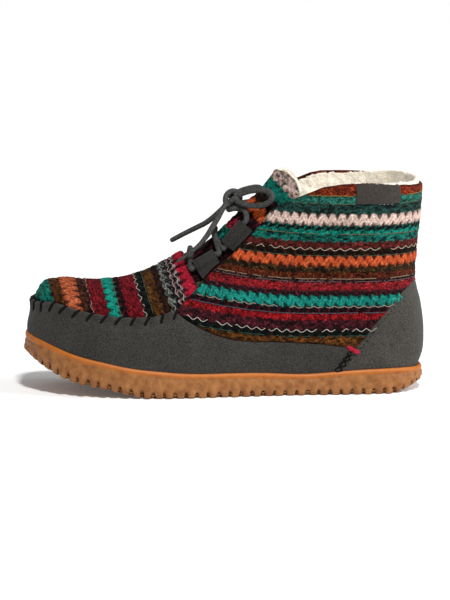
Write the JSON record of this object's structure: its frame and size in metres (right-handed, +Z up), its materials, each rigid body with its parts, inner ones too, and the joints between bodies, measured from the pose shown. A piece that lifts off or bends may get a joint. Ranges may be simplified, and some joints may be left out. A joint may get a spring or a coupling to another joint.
{
  "type": "moccasin boot",
  "caption": "Low laced moccasin boot, left foot: striped knit upper with suede vamp and heel counter, laced tongue, fleece lining and a lugged rubber cup sole.",
  "frame": {"origin": "middle of the boot's footprint, without the bow, on the floor", "axes": "+X from toe to heel, +Z up, -Y towards the outer side of the left foot"},
  "size_m": [0.2646, 0.0948, 0.1471],
  "materials": {
    "gum_rubber": "moulded gum rubber, satin",
    "insole_fleece": "cream pile",
    "striped_knit": "chunky knit in stripes of red, teal, orange, brown and cream",
    "suede": "dark grey suede",
    "lace_leather": "round dark grey leather lace",
    "tag_leather": "plain dark folded tag"
  },
  "bodies": {
    "root": {"outsole": "gum_rubber", "insole": "insole_fleece", "upper": "striped_knit", "tongue": "striped_knit", "vamp_suede": "suede", "heel_counter": "suede", "lace_tab_outer_lower": "suede", "lace_tab_inner_lower": "suede", "lace_tab_outer_upper": "suede", "lace_tab_inner_upper": "suede", "lace_crossings": "lace_leather", "lace_knot": "lace_leather", "lace_loop_outer": "lace_leather", "lace_loop_inner": "lace_leather", "lace_end_outer": "lace_leather", "lace_end_inner": "lace_leather", "side_tag": "tag_leather"}
  },
  "joints": []
}
